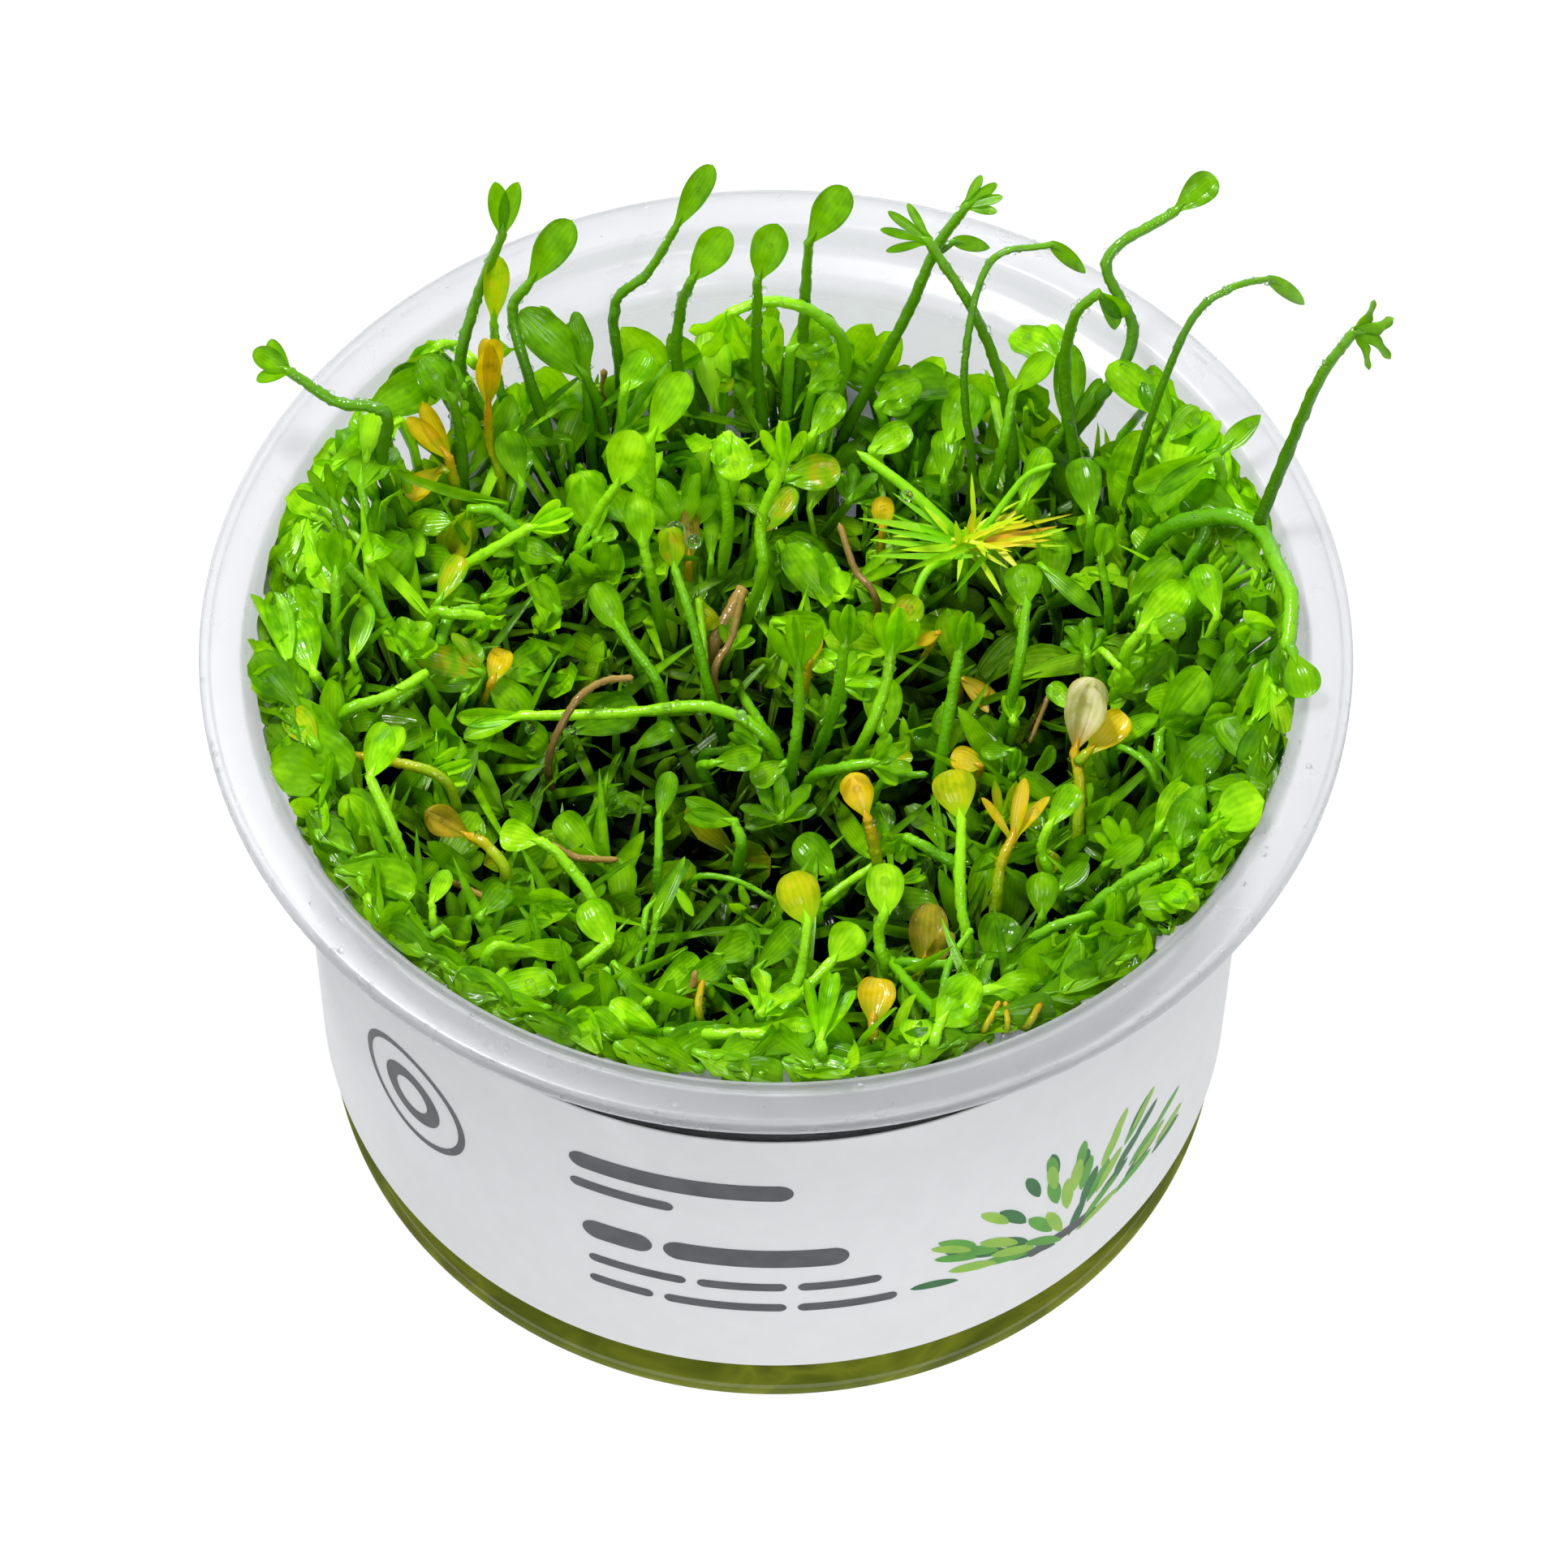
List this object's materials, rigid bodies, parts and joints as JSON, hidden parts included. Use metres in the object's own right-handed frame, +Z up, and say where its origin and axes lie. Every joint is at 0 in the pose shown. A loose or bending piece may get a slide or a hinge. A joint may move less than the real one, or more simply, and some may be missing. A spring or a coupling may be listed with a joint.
{
  "type": "potted aquarium plant",
  "caption": "Dwarf water clover sprouts packed in a round clear cup with a wide flange rim, on olive gel, behind a blank wrap label.",
  "frame": {"origin": "middle of the underside of the cup, on the surface it stands on", "axes": "+Z up along the cup's axis, -Y towards the front of the pictured view, +X to its right"},
  "size_m": [0.103, 0.1, 0.0842],
  "materials": {
    "clear_plastic": "clear, glossy, thin-walled",
    "label_paper": "satin white, blank",
    "agar_gel": "wet translucent olive gel",
    "root_mat": "dark tangled roots and runners",
    "leaf": "fresh translucent yellow-green leaf",
    "needle_leaf": "yellow-green needle leaf"
  },
  "bodies": {
    "root": {"cup": "clear_plastic", "label": "label_paper", "gel": "agar_gel", "root_mat": "root_mat", "plantlet_middle": "leaf", "plantlet_inner_01": "leaf", "plantlet_inner_02": "leaf", "plantlet_inner_03": "leaf", "plantlet_inner_04": "leaf", "plantlet_inner_05": "leaf", "plantlet_inner_06": "leaf", "plantlet_outer_01": "leaf", "plantlet_outer_02": "leaf", "plantlet_outer_03": "leaf", "plantlet_outer_04": "leaf", "plantlet_outer_05": "leaf", "plantlet_outer_06": "leaf", "plantlet_outer_07": "leaf", "plantlet_outer_08": "leaf", "plantlet_outer_09": "leaf", "plantlet_outer_10": "leaf", "plantlet_outer_11": "leaf", "plantlet_outer_12": "leaf", "needle_tuft": "needle_leaf"}
  },
  "joints": []
}
